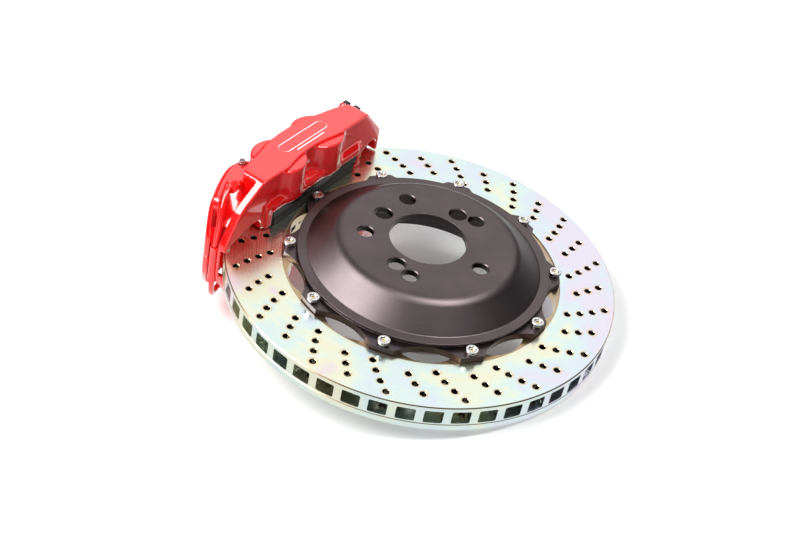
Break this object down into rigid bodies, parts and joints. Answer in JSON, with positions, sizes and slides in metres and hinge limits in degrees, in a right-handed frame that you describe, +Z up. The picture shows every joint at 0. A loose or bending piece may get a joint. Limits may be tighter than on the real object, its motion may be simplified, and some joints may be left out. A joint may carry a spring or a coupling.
{
  "type": "brake caliper and disc",
  "caption": "Drilled, vented brake disc bolted to a dark hat and held in a red fixed caliper with pads, pistons and a transfer pipe.",
  "frame": {"origin": "middle of the bounding box, at the level of the table the set rests on", "axes": "+Z up from the table; the caliper lies towards -X and the disc axis leans 10.5 degrees from +Z towards +X; +Y completes the set"},
  "size_m": [0.3946, 0.38, 0.1545],
  "materials": {
    "bleeder_cap_1": "matt black rubber",
    "bleeder_cap_2": "matt black rubber",
    "bleeder_screw_1": "plain steel",
    "bleeder_screw_2": "plain steel",
    "bridge_bolt_1": "plain steel",
    "bridge_bolt_2": "plain steel",
    "bridge_bolt_3": "plain steel",
    "bridge_bolt_4": "plain steel",
    "caliper_half_hub_side": "glossy red enamel",
    "caliper_half_wheel_side": "glossy red enamel",
    "disc_ring": "iridescent zinc plating, finely turned",
    "dust_boot_hub_side_1": "matt black rubber",
    "dust_boot_hub_side_2": "matt black rubber",
    "dust_boot_wheel_side_1": "matt black rubber",
    "dust_boot_wheel_side_2": "matt black rubber",
    "hat": "dark satin anodising",
    "hat_bolt_01": "bright plated",
    "hat_bolt_02": "bright plated",
    "hat_bolt_03": "bright plated",
    "hat_bolt_04": "bright plated",
    "hat_bolt_05": "bright plated",
    "hat_bolt_06": "bright plated",
    "hat_bolt_07": "bright plated",
    "hat_bolt_08": "bright plated",
    "hat_bolt_09": "bright plated",
    "hat_bolt_10": "bright plated",
    "hat_nut_01": "bright plated",
    "hat_nut_02": "bright plated",
    "hat_nut_03": "bright plated",
    "hat_nut_04": "bright plated",
    "hat_nut_05": "bright plated",
    "hat_nut_06": "bright plated",
    "hat_nut_07": "bright plated",
    "hat_nut_08": "bright plated",
    "hat_nut_09": "bright plated",
    "hat_nut_10": "bright plated",
    "pad_lining_hub_side": "rough friction material",
    "pad_lining_wheel_side": "rough friction material",
    "pad_pin_1": "plain steel",
    "pad_pin_2": "plain steel",
    "pad_plate_hub_side": "satin black coating",
    "pad_plate_wheel_side": "satin black coating",
    "pad_spring": "plain steel",
    "pipe_nut_hub_side": "glossy red enamel",
    "pipe_nut_wheel_side": "glossy red enamel",
    "pipe_sleeve": "glossy red enamel",
    "piston_hub_side_1": "plain steel",
    "piston_hub_side_2": "plain steel",
    "piston_wheel_side_1": "plain steel",
    "piston_wheel_side_2": "plain steel",
    "transfer_pipe": "glossy red enamel"
  },
  "bodies": {
    "caliper": {"bleeder_cap_1": "bleeder_cap_1", "bleeder_cap_2": "bleeder_cap_2", "bleeder_screw_1": "bleeder_screw_1", "bleeder_screw_2": "bleeder_screw_2", "bridge_bolt_1": "bridge_bolt_1", "bridge_bolt_2": "bridge_bolt_2", "bridge_bolt_3": "bridge_bolt_3", "bridge_bolt_4": "bridge_bolt_4", "caliper_half_hub_side": "caliper_half_hub_side", "caliper_half_wheel_side": "caliper_half_wheel_side", "dust_boot_hub_side_1": "dust_boot_hub_side_1", "dust_boot_hub_side_2": "dust_boot_hub_side_2", "dust_boot_wheel_side_1": "dust_boot_wheel_side_1", "dust_boot_wheel_side_2": "dust_boot_wheel_side_2", "pad_pin_1": "pad_pin_1", "pad_pin_2": "pad_pin_2", "pad_spring": "pad_spring", "pipe_nut_hub_side": "pipe_nut_hub_side", "pipe_nut_wheel_side": "pipe_nut_wheel_side", "pipe_sleeve": "pipe_sleeve", "transfer_pipe": "transfer_pipe"},
    "disc": {"disc_ring": "disc_ring", "hat": "hat", "hat_bolt_01": "hat_bolt_01", "hat_bolt_02": "hat_bolt_02", "hat_bolt_03": "hat_bolt_03", "hat_bolt_04": "hat_bolt_04", "hat_bolt_05": "hat_bolt_05", "hat_bolt_06": "hat_bolt_06", "hat_bolt_07": "hat_bolt_07", "hat_bolt_08": "hat_bolt_08", "hat_bolt_09": "hat_bolt_09", "hat_bolt_10": "hat_bolt_10", "hat_nut_01": "hat_nut_01", "hat_nut_02": "hat_nut_02", "hat_nut_03": "hat_nut_03", "hat_nut_04": "hat_nut_04", "hat_nut_05": "hat_nut_05", "hat_nut_06": "hat_nut_06", "hat_nut_07": "hat_nut_07", "hat_nut_08": "hat_nut_08", "hat_nut_09": "hat_nut_09", "hat_nut_10": "hat_nut_10"},
    "pad_wheel_side": {"pad_plate_wheel_side": "pad_plate_wheel_side", "pad_lining_wheel_side": "pad_lining_wheel_side"},
    "pad_hub_side": {"pad_plate_hub_side": "pad_plate_hub_side", "pad_lining_hub_side": "pad_lining_hub_side"},
    "piston_hub_side_1": {"piston_hub_side_1": "piston_hub_side_1"},
    "piston_hub_side_2": {"piston_hub_side_2": "piston_hub_side_2"},
    "piston_wheel_side_1": {"piston_wheel_side_1": "piston_wheel_side_1"},
    "piston_wheel_side_2": {"piston_wheel_side_2": "piston_wheel_side_2"}
  },
  "joints": [
    {"name": "disc_spin", "type": "hinge", "parent": "caliper", "child": "disc", "pos_m": [0.01062, 0, 0.06219], "axis": [0.1824, 0, 0.9832], "continuous": true},
    {"name": "pad_slide_wheel_side", "type": "slide", "parent": "caliper", "child": "pad_wheel_side", "axis": [0.1824, 0, 0.9832], "range_m": [-0.0004, 0.0014]},
    {"name": "pad_slide_hub_side", "type": "slide", "parent": "caliper", "child": "pad_hub_side", "axis": [0.1824, 0, 0.9832], "range_m": [-0.0014, 0.0004]},
    {"name": "piston_hub_side_1_slide", "type": "slide", "parent": "caliper", "child": "piston_hub_side_1", "axis": [0.1824, 0, 0.9832], "range_m": [-0.0014, 0.0004]},
    {"name": "piston_hub_side_2_slide", "type": "slide", "parent": "caliper", "child": "piston_hub_side_2", "axis": [0.1824, 0, 0.9832], "range_m": [-0.0014, 0.0004]},
    {"name": "piston_wheel_side_1_slide", "type": "slide", "parent": "caliper", "child": "piston_wheel_side_1", "axis": [0.1824, 0, 0.9832], "range_m": [-0.0004, 0.0014]},
    {"name": "piston_wheel_side_2_slide", "type": "slide", "parent": "caliper", "child": "piston_wheel_side_2", "axis": [0.1824, 0, 0.9832], "range_m": [-0.0004, 0.0014]}
  ],
  "couplings": [
    {"joint": "piston_hub_side_1_slide", "follows": "pad_slide_hub_side", "ratio": 1},
    {"joint": "piston_hub_side_2_slide", "follows": "pad_slide_hub_side", "ratio": 1},
    {"joint": "piston_wheel_side_1_slide", "follows": "pad_slide_wheel_side", "ratio": 1},
    {"joint": "piston_wheel_side_2_slide", "follows": "pad_slide_wheel_side", "ratio": 1}
  ]
}
